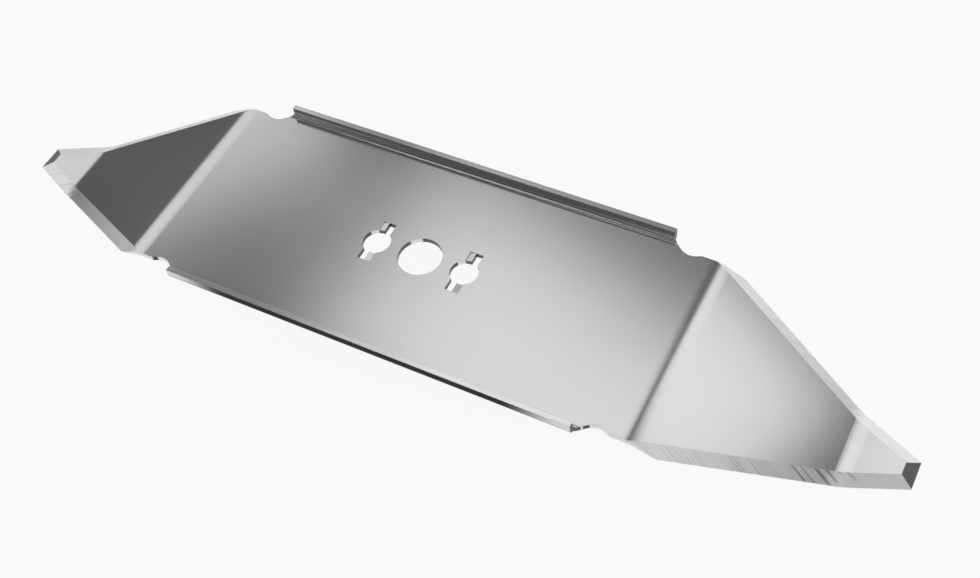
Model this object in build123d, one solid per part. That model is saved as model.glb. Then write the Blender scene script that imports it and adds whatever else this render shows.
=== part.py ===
"""A rotary mower blade, folded and ground from one length of sheet steel.

The bore axis is Z, the blade lies along X, and z = 0 is the underside of the centre plate. The plate is
a shallow channel with a flange turned up along each long edge. Past it the two wings fold down, and the
tips fold back to almost level. Both edges of each wing and its end are ground from above, so the blade
cuts in either direction.
"""

import os
from math import acos, atan2, cos, hypot, radians, sin, sqrt, tan

from build123d import *

# Sizes of the whole blade, in millimetres and degrees
blade_length = 280.0
blade_width = 67.6
sheet = 1.5

# The flanges along the centre plate
flange_length = 123.0
flange_height = 4.6
flange_inside_radius = 1.3

# The relief notch past each end of a flange, and the shoulder that the wing keeps beyond it
shoulder_inset = 3.9
shoulder_run = 7.5
shoulder_round = 1.8
relief_radius = 4.5
relief_gap = 1.1
relief_depth = 1.0

# The folds across the blade, with radii on the top face
wing_fold_spacing = 151.8
wing_angle = 19.65
wing_fold_radius = 17.3
tip_fold_spacing = 246.8
tip_angle = 2.4
tip_fold_radius = 14.0
tip_width = 8.2

# The ground edges
bevel_width = 3.5
bevel_land = 0.3
fold_steps = 6

# The holes, and the slots that cross each bolt hole
bore_diameter = 12.6
bolt_hole_diameter = 8.1
bolt_hole_spacing = 27.6
slot_reach = 7.0
slot_width = 2.2
slot_offset = 0.15
ramp_width = 1.85
ramp_depth = 0.35

# How far cutting tools run past the faces that they cut
overcut = 2.0

half_width = blade_width / 2
shoulder_half_width = half_width - shoulder_inset
flange_end = flange_length / 2
fold_x = wing_fold_spacing / 2
tip_fold_x = tip_fold_spacing / 2
end_x = blade_length / 2
ground_depth = sheet - bevel_land

relief_x = flange_end + relief_gap + relief_radius
relief_y = shoulder_half_width - relief_depth + relief_radius


def top_corners():
    """The corners of the top face seen from the side, from the wing's fold out to the +X end."""
    wing_drop = (tip_fold_x - fold_x) * tan(radians(wing_angle))
    tip_drop = (end_x - tip_fold_x) * tan(radians(tip_angle))
    return [
        (fold_x, sheet),
        (tip_fold_x, sheet - wing_drop),
        (end_x, sheet - wing_drop - tip_drop),
    ]


def half_top_line():
    """The top face seen from the side, from the bore axis along the plate, wing and tip to the +X end."""
    return Plane.XZ * FilletPolyline((0, sheet), *top_corners(), radius=[wing_fold_radius, tip_fold_radius])


def station_lengths(line):
    """Distances along the line: the ends of its straights, and even steps round its folds."""
    lengths = [0.0]
    for edge in line.edges().sort_by_distance((0, 0, sheet)):
        steps = 1 if edge.geom_type == GeomType.LINE else fold_steps
        start = lengths[-1]
        lengths += [start + edge.length * (step + 1) / steps for step in range(steps)]
    return lengths


def section_plane(line, length):
    """The plane across the sheet at a distance along its top line, with +Y outwards and +Z up the sheet."""
    share = min(length / line.length, 1.0)
    past_end = max(length - line.length, 0.0)
    along = line % share
    return Plane(origin=(line @ share) + along * past_end, x_dir=(0, 1, 0), z_dir=along)


def sheet_section(top):
    """The section of the sheet whose upper face follows a line."""
    return make_face(offset(top, amount=sheet, side=Side.RIGHT, closed=True))


def folded_sheet():
    """The whole sheet between its shoulders, folded across but not yet tapered."""
    right = top_corners()
    left = [(-x, z) for x, z in reversed(right)]
    radii = [tip_fold_radius, wing_fold_radius, wing_fold_radius, tip_fold_radius]
    section = sheet_section(FilletPolyline(*left, *right, radius=radii))
    return extrude(Plane.XZ * section, amount=shoulder_half_width, both=True)


def flanged_plate():
    """The centre plate with its two flanges, run on to the middle of the relief notches."""
    inner_y = half_width - sheet
    inside = FilletPolyline(
        (-inner_y, flange_height), (-inner_y, sheet), (inner_y, sheet), (inner_y, flange_height),
        radius=flange_inside_radius,
    )
    return extrude(Plane.YZ * sheet_section(inside), amount=relief_x, both=True)


def relief_cutter():
    """One relief notch: a round, with a straight run from it to the root of the flange's end."""
    root_y = half_width - sheet
    across, up = flange_end - relief_x, root_y - relief_y
    reach = hypot(across, up)
    turn = atan2(up, across) + acos(relief_radius / reach)
    touch = (relief_x + relief_radius * cos(turn), relief_y + relief_radius * sin(turn))
    outside_y = half_width + overcut
    run = Polygon(
        (flange_end, root_y), touch, (relief_x, relief_y), (relief_x, outside_y), (flange_end, outside_y),
        align=None,
    )
    notch = Pos(relief_x, relief_y) * Circle(relief_radius) + run
    return extrude(notch, amount=flange_height + overcut) + extrude(notch, amount=-overcut)


def edge_cutter():
    """What trims one long edge of a wing and grinds its bevel, laid along the folded sheet."""
    line = half_top_line()
    corner = fold_x + shoulder_run
    taper = (shoulder_half_width - tip_width / 2) / (line.length - corner)
    bevel_run = bevel_width * sqrt(1 + taper**2)
    start = corner - bevel_run / taper - overcut
    lengths = [start] + [length for length in station_lengths(line) if length > start]
    lengths[-1] += overcut
    sections = []
    for length in lengths:
        edge = shoulder_half_width - taper * (length - corner)
        outside = edge + shoulder_half_width
        outline = Polygon(
            (edge - 2 * bevel_run, ground_depth), (edge, -ground_depth), (edge, -sheet - overcut),
            (outside, -sheet - overcut), (outside, ground_depth),
            align=None,
        )
        sections.append(section_plane(line, length) * outline)
    return loft(sections, ruled=True)


def end_cutter():
    """What grinds the bevel across the end of one tip."""
    line = half_top_line()
    tip = section_plane(line, line.length)
    along = Plane(origin=tip.origin, x_dir=tip.z_dir, z_dir=(0, -1, 0))
    wedge = Polygon(
        (-2 * bevel_width, ground_depth), (bevel_width, -2 * ground_depth), (bevel_width, ground_depth),
        align=None,
    )
    return extrude(along * wedge, amount=shoulder_half_width, both=True)


def bolt_hole_cutter():
    """One bolt hole with its two slots, and the shallow ramp pressed down beside each slot."""
    hole = Circle(bolt_hole_diameter / 2)
    slot = Pos(slot_offset, 0) * Rectangle(slot_width, slot_reach, align=Align.MIN)
    opening = hole + slot + slot.rotate(Axis.Z, 180)
    through = extrude(opening, amount=sheet + overcut) + extrude(opening, amount=-overcut)
    low = slot_offset - ramp_width
    slope = Polygon((low, sheet), (low, sheet - ramp_depth), (slot_offset, sheet), align=None)
    ramp = extrude(Plane.XZ * slope, amount=-slot_reach)
    return through + ramp + ramp.rotate(Axis.Z, 180)


def on_four_corners(tool):
    """A tool made for the +X +Y corner, mirrored to all four."""
    right = tool + mirror(tool, about=Plane.XZ)
    return right + mirror(right, about=Plane.YZ)


def mower_blade():
    """The finished blade."""
    blade = folded_sheet() + flanged_plate()
    blade -= on_four_corners(relief_cutter())
    rounded = [
        edge
        for edge in blade.edges().filter_by(Axis.Z)
        if abs(edge.center().X) > relief_x and abs(abs(edge.center().Y) - shoulder_half_width) < bevel_land
    ]
    blade = fillet(rounded, radius=shoulder_round)
    blade -= on_four_corners(edge_cutter())
    tip_tool = end_cutter()
    blade -= tip_tool
    blade -= mirror(tip_tool, about=Plane.YZ)
    blade -= extrude(Circle(bore_diameter / 2), amount=sheet + overcut, both=True)
    for x in (-bolt_hole_spacing / 2, bolt_hole_spacing / 2):
        blade -= Pos(x, 0) * bolt_hole_cutter()
    return blade


os.makedirs("parts", exist_ok=True)
export_step(mower_blade(), "parts/mower_blade.step")
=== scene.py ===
import math

import bmesh
import bpy
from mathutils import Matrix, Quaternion, Vector


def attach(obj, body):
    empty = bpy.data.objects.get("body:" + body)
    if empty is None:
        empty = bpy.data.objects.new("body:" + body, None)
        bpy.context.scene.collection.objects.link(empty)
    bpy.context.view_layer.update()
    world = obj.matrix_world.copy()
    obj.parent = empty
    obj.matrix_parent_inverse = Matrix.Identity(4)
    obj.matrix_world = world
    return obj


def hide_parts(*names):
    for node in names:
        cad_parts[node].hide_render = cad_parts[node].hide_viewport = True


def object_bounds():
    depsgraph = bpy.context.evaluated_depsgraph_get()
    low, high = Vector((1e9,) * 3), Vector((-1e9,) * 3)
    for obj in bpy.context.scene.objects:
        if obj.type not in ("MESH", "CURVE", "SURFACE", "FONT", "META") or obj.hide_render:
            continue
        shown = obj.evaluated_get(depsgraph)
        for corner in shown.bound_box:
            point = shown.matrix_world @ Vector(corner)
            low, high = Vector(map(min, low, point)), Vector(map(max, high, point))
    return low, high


# The camera: where it stands, the point its axis passes through, and its turn about that axis
CAMERA_PLACE = Vector((0.14713, -0.18047, 0.28952))
CAMERA_AIM = Vector((0.02285, -0.00224, 0.0015))
CAMERA_ROLL = math.radians(-9.39)
CAMERA_LENS = 49.6
CAMERA_CLIP = (0.01, 50.0)

# The floor, and how far it shows as plain white instead of its own grey
FLOOR_WIDTH = 30.0
FLOOR_GREY = 0.9
FLOOR_ROUGHNESS = 0.9
WHITE_SHARE = 0.9

# The light from all around, and how far away a lamp stands unless it says otherwise
WORLD_GREY = 0.078
LAMP_DISTANCE = 3.0

# The blade's shape, in metres and radians, as the CAD source has it. A fold is given by its two ends along
# the blade, and the holes all lie within the reach given here, along the blade and across it.
SHEET = 0.0015
FLANGE_END = 0.0615
FLANGE_TOP = 0.0046
FLANGE_INSIDE = 0.0323
WING_FOLD = (0.0729, 0.0789)
TIP_FOLD = (0.1212, 0.1256)
WING_TILT = math.radians(19.65)
TIP_TILT = math.radians(2.4)
GROUND_LEAN = math.radians(18.9)
HOLES_REACH = (0.025, 0.009)

# Cosines that sort the faces: those that look well towards a direction, straight up, or a little sideways
WELL_TOWARDS = 0.5
STRAIGHT_UP = 0.9
A_LITTLE_SIDEWAYS = 0.15

# The walls of the holes have their middle below this height, and those of the pressed ramps above it
HOLE_WALL_TOP = 0.75 * SHEET

# The places of the finishes in the blade's list of materials
ROLLED, GROUND, SHEARED, PUNCHED, TRIMMED, FLANGE_OUTSIDE = range(6)

# Noise mostly stays between these values, and each finish carries it to tones of its own
NOISE_RANGE = (0.3, 0.7)
NOISE_DETAIL = 3.0

# How far the light rounds the blade's sharp edges, and with how many samples
EDGE_ROUNDING = 0.00012
EDGE_SAMPLES = 4

# Rolled sheet. Here and below, noise has a scale per metre along X, Y and Z, a pair of greys or
# roughnesses belongs to the two ends of the noise, and a depth is the height of the bump in metres.
ROLLED_LINES = (14, 1100, 1100)
ROLLED_CLOUD = (25, 60, 60)
ROLLED_DENTS = (150, 3200, 3200)
ROLLED_GREY = (0.655, 0.665)
ROLLED_ROUGHNESS = (0.185, 0.195)
ROLLED_DEPTH = 1.5e-8

# The inner face of a flange has painted shade in the crease at its foot, and painted light from there up:
# at which heights, and by how much
PAINTED_CREASE_SHADE_AT = (0.00165, 0.0019)
PAINTED_CREASE_SHADE_BY = (0.0, 0.09)
PAINTED_LIGHT_AT = (0.0021, 0.0031)
PAINTED_LIGHT_BY = (0.0, 0.35)

# The grinding lines on the long bevels run at this angle to the blade's length, outwards on every wing.
# Their noise has scales across the lines, out along the blade, and across the blade. A cut is the stretch
# of noise over which the deep lines, or the groups that they come in, begin to show.
GRIND_ANGLE = math.radians(19)
FINE_LINES = (3000, 25, 8)
FINE_DETAIL = 2.0
FINE_RANGE = (-1.0, 1.0)
DEEP_LINES = (2200, 20, 8)
DEEP_CUT = (0.54, 0.64)
LINE_GROUPS = (90, 90)
GROUP_CUT = (0.42, 0.5)
DEEP_DETAIL = 1.0
GROUND_ROUGHNESS = (0.44, 0.38)
GROUND_DEPTH = 1.2e-6

# How strongly each kind of line shows in the grey, and how high the fine ones stand beside the deep ones
FINE_TONE = 0.025
DEEP_TONE = 0.25
FINE_HEIGHT = 0.15

# What differs from left to right changes over this stretch of X, and from near to far over this one of Y
WINGS_AT = (-0.05, 0.05)
EDGES_AT = (-0.003, 0.003)

# The deep lines show less by the shoulder, on the left wing, and along the far edges
DEEP_AT = (0.085, 0.1)
DEEP_OUTWARDS = (0.35, 1.0)
DEEP_BY_WING = (0.4, 1.0)
DEEP_BY_EDGE = (1.0, 0.35)

# The bevels' grey has painted shade from the shoulder outwards, more along the near edges, and a painted
# highlight on the tips
PAINTED_SHADE_AT = (0.084, 0.120)
PAINTED_SHADE_BY_EDGE = (0.42, 0.17)
TIP_HIGHLIGHT_AT = (0.1195, 0.1235)
BEVEL_GREY_AND_TIP_HIGHLIGHT = (0.86, 1.18)

# The torn walls that the press left
TORN_STEEL = (1500, 1500, 250)
TORN_DEPTH = 1e-5
SHEARED_GREY = (0.66, 0.82)
SHEARED_ROUGHNESS = (0.45, 0.32)
# The punched walls' grey is painted dark, a painted reflection of shade, over the torn steel's own
# variation
PUNCHED_PAINTED_REFLECTION_GREY = (0.08, 0.14)
PUNCHED_ROUGHNESS = (0.44, 0.32)

# Dark spots on the walls of the relief notches: where along the blade, how far each one reaches, and what
# share of the grey it leaves
NOTCH_SPOTS = (-0.0695, 0.0641)
SPOT_REACH = (0.0005, 0.0009)
SPOT_SHARE = (0.1, 1.0)

# The holes' walls have a painted highlight where they face this way: fully within the first angle, not at
# all past the second, and by how much
PAINTED_HIGHLIGHT_FACING = math.radians(-51.5)
PAINTED_HIGHLIGHT_REACH = (math.radians(13), math.radians(18))
PAINTED_HIGHLIGHT_BY = (0.0, 0.62)

# The trimmed top edges of the flanges
TRIMMED_LINES = (60, 2400, 2400)
TRIMMED_GREY = (0.71, 0.77)
TRIMMED_ROUGHNESS = (0.22, 0.18)
TRIMMED_DEPTH = 3e-7

# The outer faces of the flanges, with a painted dark reflection along the middle that turns to bright over
# a stretch towards each end
OUTSIDE_LINES = (30, 1800, 1800)
PAINTED_REFLECTION_AT = (0.042, 0.060)
OUTSIDE_GREY_AND_PAINTED_REFLECTION = (0.04, 0.80)
OUTSIDE_LINE_SHARE = (0.9, 1.1)
OUTSIDE_ROUGHNESS = (0.24, 0.18)
OUTSIDE_DEPTH = 1e-6
OUTSIDE_TINT = 0.5

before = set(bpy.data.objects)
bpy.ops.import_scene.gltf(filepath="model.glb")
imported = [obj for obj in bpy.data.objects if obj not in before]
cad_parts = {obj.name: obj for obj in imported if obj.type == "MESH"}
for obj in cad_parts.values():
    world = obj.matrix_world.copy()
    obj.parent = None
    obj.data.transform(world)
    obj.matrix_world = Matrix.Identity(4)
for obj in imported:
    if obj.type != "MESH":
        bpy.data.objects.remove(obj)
cad_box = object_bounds()


def new_object(name, data):
    """A new object in the scene, which shows some data."""
    thing = bpy.data.objects.new(name, data)
    bpy.context.scene.collection.objects.link(thing)
    return thing


def turn(thing, level, roll):
    """Gives an object a level aim, and then a turn about the axis that it aims along."""
    thing.rotation_mode = "QUATERNION"
    thing.rotation_quaternion = level @ Quaternion((0, 0, 1), roll)


def make_camera():
    """The camera at the photograph's viewing angle."""
    data = bpy.data.cameras.new("camera")
    data.lens = CAMERA_LENS
    data.clip_start, data.clip_end = CAMERA_CLIP
    camera = new_object("camera", data)
    camera.location = CAMERA_PLACE
    turn(camera, (CAMERA_AIM - CAMERA_PLACE).to_track_quat("-Z", "Y"), CAMERA_ROLL)
    bpy.context.scene.camera = camera


def connect(tree, value, socket):
    """Puts a number, or what another node gives, into a socket."""
    if isinstance(value, bpy.types.NodeSocket):
        tree.links.new(value, socket)
    else:
        socket.default_value = value


def calculate(tree, operation, first, second=0.0):
    """One step of arithmetic on numbers or sockets."""
    node = tree.nodes.new("ShaderNodeMath")
    node.operation = operation
    connect(tree, first, node.inputs[0])
    connect(tree, second, node.inputs[1])
    return node.outputs["Value"]


def add(tree, first, second):
    """The sum of two numbers or sockets."""
    return calculate(tree, "ADD", first, second)


def subtract(tree, first, second):
    """The first number or socket less the second."""
    return calculate(tree, "SUBTRACT", first, second)


def multiply(tree, first, *others):
    """Numbers or sockets multiplied together, in their order."""
    for other in others:
        first = calculate(tree, "MULTIPLY", first, other)
    return first


def absolute(tree, value):
    """A number or socket without its sign."""
    return calculate(tree, "ABSOLUTE", value)


def remap(tree, value, source, target=(0.0, 1.0), interpolation="LINEAR"):
    """Carries a value from one range to another, held at its ends."""
    node = tree.nodes.new("ShaderNodeMapRange")
    node.interpolation_type = interpolation
    node.clamp = True
    connect(tree, value, node.inputs["Value"])
    for name, number in zip(("From Min", "From Max", "To Min", "To Max"), source + target):
        node.inputs[name].default_value = number
    return node.outputs["Result"]


def position(tree):
    """X, Y and Z on the blade, in metres."""
    place = tree.nodes.new("ShaderNodeTexCoord")
    split = tree.nodes.new("ShaderNodeSeparateXYZ")
    tree.links.new(place.outputs["Object"], split.inputs["Vector"])
    return split.outputs["X"], split.outputs["Y"], split.outputs["Z"]


def grain(tree, coordinates, scales, detail=NOISE_DETAIL):
    """Noise over two or three coordinates, each with its own scale per metre."""
    vector = tree.nodes.new("ShaderNodeCombineXYZ")
    for value, scale, socket in zip(coordinates, scales, vector.inputs):
        tree.links.new(multiply(tree, value, scale), socket)
    noise = tree.nodes.new("ShaderNodeTexNoise")
    noise.inputs["Scale"].default_value = 1.0
    noise.inputs["Detail"].default_value = detail
    tree.links.new(vector.outputs["Vector"], noise.inputs["Vector"])
    return noise.outputs["Fac"]


def toned(tree, noise, tones):
    """Noise carried to a range of tones."""
    return remap(tree, noise, NOISE_RANGE, tones)


def metal(name):
    """A bare metal: its material, its node tree and its shader."""
    material = bpy.data.materials.new(name)
    material.use_nodes = True
    tree = material.node_tree
    shader = tree.nodes["Principled BSDF"]
    shader.inputs["Metallic"].default_value = 1.0
    return material, tree, shader


def coat(tree, shader, grey, roughness, height, depth):
    """Gives a metal its grey, its roughness, and bump of a real depth over slightly rounded edges."""
    connect(tree, grey, shader.inputs["Base Color"])
    connect(tree, roughness, shader.inputs["Roughness"])
    edges = tree.nodes.new("ShaderNodeBevel")
    edges.samples = EDGE_SAMPLES
    edges.inputs["Radius"].default_value = EDGE_ROUNDING
    bump = tree.nodes.new("ShaderNodeBump")
    bump.inputs["Strength"].default_value = 1.0
    bump.inputs["Distance"].default_value = depth
    tree.links.new(height, bump.inputs["Height"])
    tree.links.new(edges.outputs["Normal"], bump.inputs["Normal"])
    tree.links.new(bump.outputs["Normal"], shader.inputs["Normal"])


def make_floor():
    """A plain pale floor at the blade's lowest point, which keeps a soft shadow."""
    mesh = bpy.data.meshes.new("floor")
    form = bmesh.new()
    bmesh.ops.create_grid(form, x_segments=1, y_segments=1, size=FLOOR_WIDTH / 2)
    form.to_mesh(mesh)
    form.free()
    floor = new_object("floor", mesh)
    floor.location.z = cad_box[0].z
    material = bpy.data.materials.new("pale_floor")
    material.use_nodes = True
    tree = material.node_tree
    shader = tree.nodes["Principled BSDF"]
    shader.inputs["Base Color"].default_value = (FLOOR_GREY, FLOOR_GREY, FLOOR_GREY, 1)
    shader.inputs["Roughness"].default_value = FLOOR_ROUGHNESS
    white = tree.nodes.new("ShaderNodeEmission")
    path = tree.nodes.new("ShaderNodeLightPath")
    seen = add(tree, path.outputs["Is Camera Ray"], path.outputs["Is Glossy Ray"])
    seen = add(tree, seen, path.outputs["Is Transmission Ray"])
    mix = tree.nodes.new("ShaderNodeMixShader")
    tree.links.new(multiply(tree, seen, WHITE_SHARE), mix.inputs["Fac"])
    tree.links.new(shader.outputs["BSDF"], mix.inputs[1])
    tree.links.new(white.outputs["Emission"], mix.inputs[2])
    tree.links.new(mix.outputs["Shader"], tree.nodes["Material Output"].inputs["Surface"])
    mesh.materials.append(material)


def rolled_finish():
    """Smooth rolled sheet, with faint lines along the blade, and painted shade and light on a flange's
    inner face.
    """
    material, tree, shader = metal("rolled_steel")
    place = position(tree)
    lines = grain(tree, place, ROLLED_LINES)
    cloud = grain(tree, place, ROLLED_CLOUD)
    dents = grain(tree, place, ROLLED_DENTS)
    height = place[2]
    # Painted shade in the flange's crease, and painted light higher up its inner face
    grey = subtract(tree, toned(tree, lines, ROLLED_GREY), remap(tree, height, PAINTED_CREASE_SHADE_AT, PAINTED_CREASE_SHADE_BY))
    grey = add(tree, grey, remap(tree, height, PAINTED_LIGHT_AT, PAINTED_LIGHT_BY))
    coat(tree, shader, grey, toned(tree, cloud, ROLLED_ROUGHNESS), dents, ROLLED_DEPTH)
    return material


def ground_finish():
    """The long bevels: ground across at a slant, in groups of deeper lines, with painted shade outwards and
    a painted highlight on the tips.
    """
    material, tree, shader = metal("ground_steel")
    x, y, _ = position(tree)
    out = absolute(tree, x)
    across = subtract(
        tree,
        multiply(tree, absolute(tree, y), math.cos(GRIND_ANGLE)),
        multiply(tree, out, math.sin(GRIND_ANGLE)),
    )
    fine = toned(tree, grain(tree, (across, out, y), FINE_LINES, FINE_DETAIL), FINE_RANGE)
    sharp = remap(tree, grain(tree, (across, out, y), DEEP_LINES, DEEP_DETAIL), DEEP_CUT)
    groups = remap(tree, grain(tree, (x, y), LINE_GROUPS, DEEP_DETAIL), GROUP_CUT)
    share = multiply(
        tree,
        remap(tree, out, DEEP_AT, DEEP_OUTWARDS, "SMOOTHSTEP"),
        remap(tree, x, WINGS_AT, DEEP_BY_WING),
        remap(tree, y, EDGES_AT, DEEP_BY_EDGE),
    )
    deep = multiply(tree, sharp, groups, share)
    tone = subtract(tree, multiply(tree, fine, FINE_TONE), multiply(tree, deep, DEEP_TONE))
    # Painted shade outwards and along the near edges, and a painted highlight on the tips
    painted_shade = multiply(tree, remap(tree, out, PAINTED_SHADE_AT), remap(tree, y, EDGES_AT, PAINTED_SHADE_BY_EDGE))
    base = subtract(tree, remap(tree, out, TIP_HIGHLIGHT_AT, BEVEL_GREY_AND_TIP_HIGHLIGHT), painted_shade)
    roughness = remap(tree, fine, FINE_RANGE, GROUND_ROUGHNESS)
    height = subtract(tree, multiply(tree, fine, FINE_HEIGHT), deep)
    coat(tree, shader, add(tree, tone, base), roughness, height, GROUND_DEPTH)
    return material


def sheared_finish():
    """The walls of the relief notches and of the pressed ramps, and the cut edges of the sheet."""
    material, tree, shader = metal("sheared_steel")
    place = position(tree)
    torn = grain(tree, place, TORN_STEEL)
    grey = toned(tree, torn, SHEARED_GREY)
    for spot in NOTCH_SPOTS:
        away = absolute(tree, subtract(tree, place[0], spot))
        grey = multiply(tree, grey, remap(tree, away, SPOT_REACH, SPOT_SHARE, "SMOOTHSTEP"))
    coat(tree, shader, grey, toned(tree, torn, SHEARED_ROUGHNESS), torn, TORN_DEPTH)
    return material


def punched_finish_painted_reflection():
    """The walls of the bore, the bolt holes and their slots, and the ends of the flanges: painted dark as a
    painted reflection of shade, with a painted highlight where the hole walls face one way.
    """
    material, tree, shader = metal("punched_steel_painted_reflection")
    place = position(tree)
    torn = grain(tree, place, TORN_STEEL)
    # A painted highlight on the hole walls that face one way
    geometry = tree.nodes.new("ShaderNodeNewGeometry")
    facing = tree.nodes.new("ShaderNodeVectorMath")
    facing.operation = "DOT_PRODUCT"
    tree.links.new(geometry.outputs["Normal"], facing.inputs[0])
    facing.inputs[1].default_value = (math.cos(PAINTED_HIGHLIGHT_FACING), math.sin(PAINTED_HIGHLIGHT_FACING), 0)
    rims = math.cos(PAINTED_HIGHLIGHT_REACH[1]), math.cos(PAINTED_HIGHLIGHT_REACH[0])
    by_holes = calculate(tree, "LESS_THAN", absolute(tree, place[0]), HOLES_REACH[0])
    painted_highlight = multiply(tree, remap(tree, facing.outputs["Value"], rims, PAINTED_HIGHLIGHT_BY), by_holes)
    # The walls' dark grey is a painted reflection of shade
    grey = add(tree, painted_highlight, toned(tree, torn, PUNCHED_PAINTED_REFLECTION_GREY))
    coat(tree, shader, grey, toned(tree, torn, PUNCHED_ROUGHNESS), torn, TORN_DEPTH)
    return material


def trimmed_finish():
    """The long top edges of the flanges, brighter than the sheet."""
    material, tree, shader = metal("trimmed_steel")
    lines = grain(tree, position(tree), TRIMMED_LINES)
    grey = toned(tree, lines, TRIMMED_GREY)
    coat(tree, shader, grey, toned(tree, lines, TRIMMED_ROUGHNESS), lines, TRIMMED_DEPTH)
    return material


def flange_outside_painted_reflection():
    """The outer faces of the flanges: a painted dark reflection along the middle, and bright towards both
    ends.
    """
    material, tree, shader = metal("flange_steel_painted_reflection")
    shader.inputs["Specular Tint"].default_value = (OUTSIDE_TINT, OUTSIDE_TINT, OUTSIDE_TINT, 1)
    place = position(tree)
    lines = grain(tree, place, OUTSIDE_LINES)
    # A painted dark reflection along the middle of the outer faces
    grey = remap(tree, absolute(tree, place[0]), PAINTED_REFLECTION_AT, OUTSIDE_GREY_AND_PAINTED_REFLECTION, "SMOOTHSTEP")
    grey = multiply(tree, grey, toned(tree, lines, OUTSIDE_LINE_SHARE))
    coat(tree, shader, grey, toned(tree, lines, OUTSIDE_ROUGHNESS), lines, OUTSIDE_DEPTH)
    return material


def share_past(out, fold):
    """What share of a fold the sheet has turned through at a distance from the bore."""
    start, end = fold
    return min(max((out - start) / (end - start), 0), 1)


def sheet_tilt(out):
    """How far the sheet leans outwards at a distance from the bore."""
    return WING_TILT * share_past(out, WING_FOLD) + (TIP_TILT - WING_TILT) * share_past(out, TIP_FOLD)


def finish_of(center, normal):
    """Which finish a face has, from where it is and which way it looks."""
    out, side = abs(center.x), abs(center.y)
    outwards = normal.y * math.copysign(1, center.y)
    if out < FLANGE_END + SHEET and side > FLANGE_INSIDE - 2 * SHEET:
        if abs(normal.x) > WELL_TOWARDS:
            return PUNCHED
        if center.z > FLANGE_TOP - SHEET / 10 and normal.z > STRAIGHT_UP:
            return TRIMMED
        if side > FLANGE_INSIDE and outwards > WELL_TOWARDS:
            return FLANGE_OUTSIDE
        if side > FLANGE_INSIDE - SHEET:
            return ROLLED
    tilt = sheet_tilt(out)
    sheet = Vector((math.copysign(math.sin(tilt), center.x), 0, math.cos(tilt)))
    lean = normal.dot(sheet)
    if abs(lean) < WELL_TOWARDS:
        in_hole = out < HOLES_REACH[0] and side < HOLES_REACH[1] and center.z < HOLE_WALL_TOP
        return PUNCHED if in_hole else SHEARED
    along_edge = abs(normal.y) > A_LITTLE_SIDEWAYS
    if out > FLANGE_END and along_edge and 0 < lean < math.cos(GROUND_LEAN / 2):
        return GROUND
    return ROLLED


def make_blade():
    """The blade with a finish for each way that its steel was worked, some with painted shade, light and
    reflections.
    """
    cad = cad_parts["mower_blade"]
    mesh = cad.data.copy()
    mesh.name = "finished_blade"
    mesh.materials.clear()
    for finish in (
        rolled_finish, ground_finish, sheared_finish, punched_finish_painted_reflection, trimmed_finish, flange_outside_painted_reflection,
    ):
        mesh.materials.append(finish())
    for face in mesh.polygons:
        face.material_index = finish_of(face.center, face.normal)
    blade = new_object("finished_blade", mesh)
    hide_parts("mower_blade")
    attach(blade, "root")


def add_softbox(name, azimuth, elevation, size, radiance, distance=LAMP_DISTANCE, roll=0.0):
    """One soft area lamp aimed at the blade. Angles are in degrees; azimuth runs from +X towards +Y."""
    data = bpy.data.lights.new(name, "AREA")
    data.shape = "RECTANGLE"
    data.size, data.size_y = size
    data.energy = radiance * math.pi * size[0] * size[1]
    lamp = new_object(name, data)
    a, e = math.radians(azimuth), math.radians(elevation)
    away = Vector((math.cos(a) * math.cos(e), math.sin(a) * math.cos(e), math.sin(e)))
    lamp.location = away * distance
    lamp.visible_camera = False
    turn(lamp, away.to_track_quat("Z", "Y"), math.radians(roll))


def make_light():
    """A plain grey world and soft lamps."""
    world = bpy.data.worlds.new("studio")
    bpy.context.scene.world = world
    world.use_nodes = True
    background = world.node_tree.nodes["Background"]
    background.inputs["Color"].default_value = (WORLD_GREY, WORLD_GREY, WORLD_GREY, 1)
    add_softbox(
        "back_left", azimuth=118.8, elevation=59.8, size=(0.80, 1.50), radiance=1.10,
        distance=3.5, roll=47.2,
    )
    add_softbox(
        "back_right", azimuth=47.7, elevation=49.8, size=(0.243, 0.141), radiance=1.12,
        distance=0.5, roll=26.5,
    )
    add_softbox(
        "left", azimuth=149.4, elevation=31.1, size=(0.484, 0.462), radiance=0.83,
        distance=1.0, roll=-6.5,
    )
    add_softbox("key", azimuth=-20, elevation=50, size=(3.2, 3.6), radiance=0.62)
    add_softbox("back_low", azimuth=89, elevation=19, size=(6.4, 1.8), radiance=0.85)
    add_softbox("right_low", azimuth=15, elevation=19, size=(2.6, 1.8), radiance=0.8)
    add_softbox("front_low", azimuth=287, elevation=20, size=(3.2, 1.4), radiance=0.8)
    add_softbox("left_low", azimuth=216, elevation=20, size=(1.9, 1.4), radiance=0.8)
    add_softbox("top", azimuth=0, elevation=90, size=(0.6, 1.28), radiance=0.6)
    add_softbox("left_side", azimuth=182, elevation=36, size=(2.0, 1.6), radiance=1.2)
    add_softbox("top_left", azimuth=203, elevation=67, size=(1.8, 0.2), radiance=1.8)


make_camera()
make_floor()
make_blade()
make_light()
bpy.context.scene.view_settings.view_transform = "Standard"
